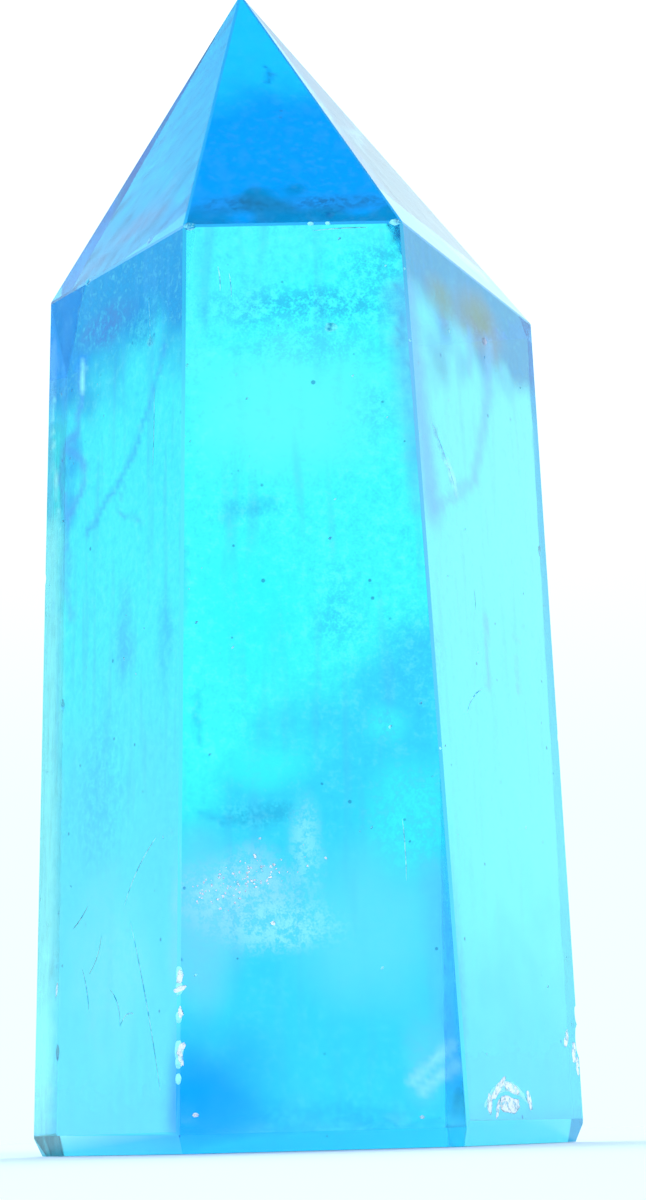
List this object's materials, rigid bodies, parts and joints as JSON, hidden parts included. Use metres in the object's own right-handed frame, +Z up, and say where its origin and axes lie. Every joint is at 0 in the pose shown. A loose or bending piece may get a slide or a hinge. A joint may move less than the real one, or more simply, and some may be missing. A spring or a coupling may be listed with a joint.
{
  "type": "coated quartz point",
  "caption": "Clear hexagonal crystal point, ground and polished, with a flat cut base, a slightly tapering column and an off-centre faceted tip.",
  "frame": {"origin": "middle of the object's box in plan, at the level of its cut base", "axes": "+Z up along the column to the tip, -Y towards the viewer of the picture, +X to the viewer's right"},
  "size_m": [0.0306, 0.0268, 0.07],
  "materials": {
    "coated_quartz": "clear rock crystal polished flat, with a thin sky-blue metal vapour coating that shines lavender at a glance"
  },
  "bodies": {
    "root": {"quartz_point": "coated_quartz"}
  },
  "joints": []
}
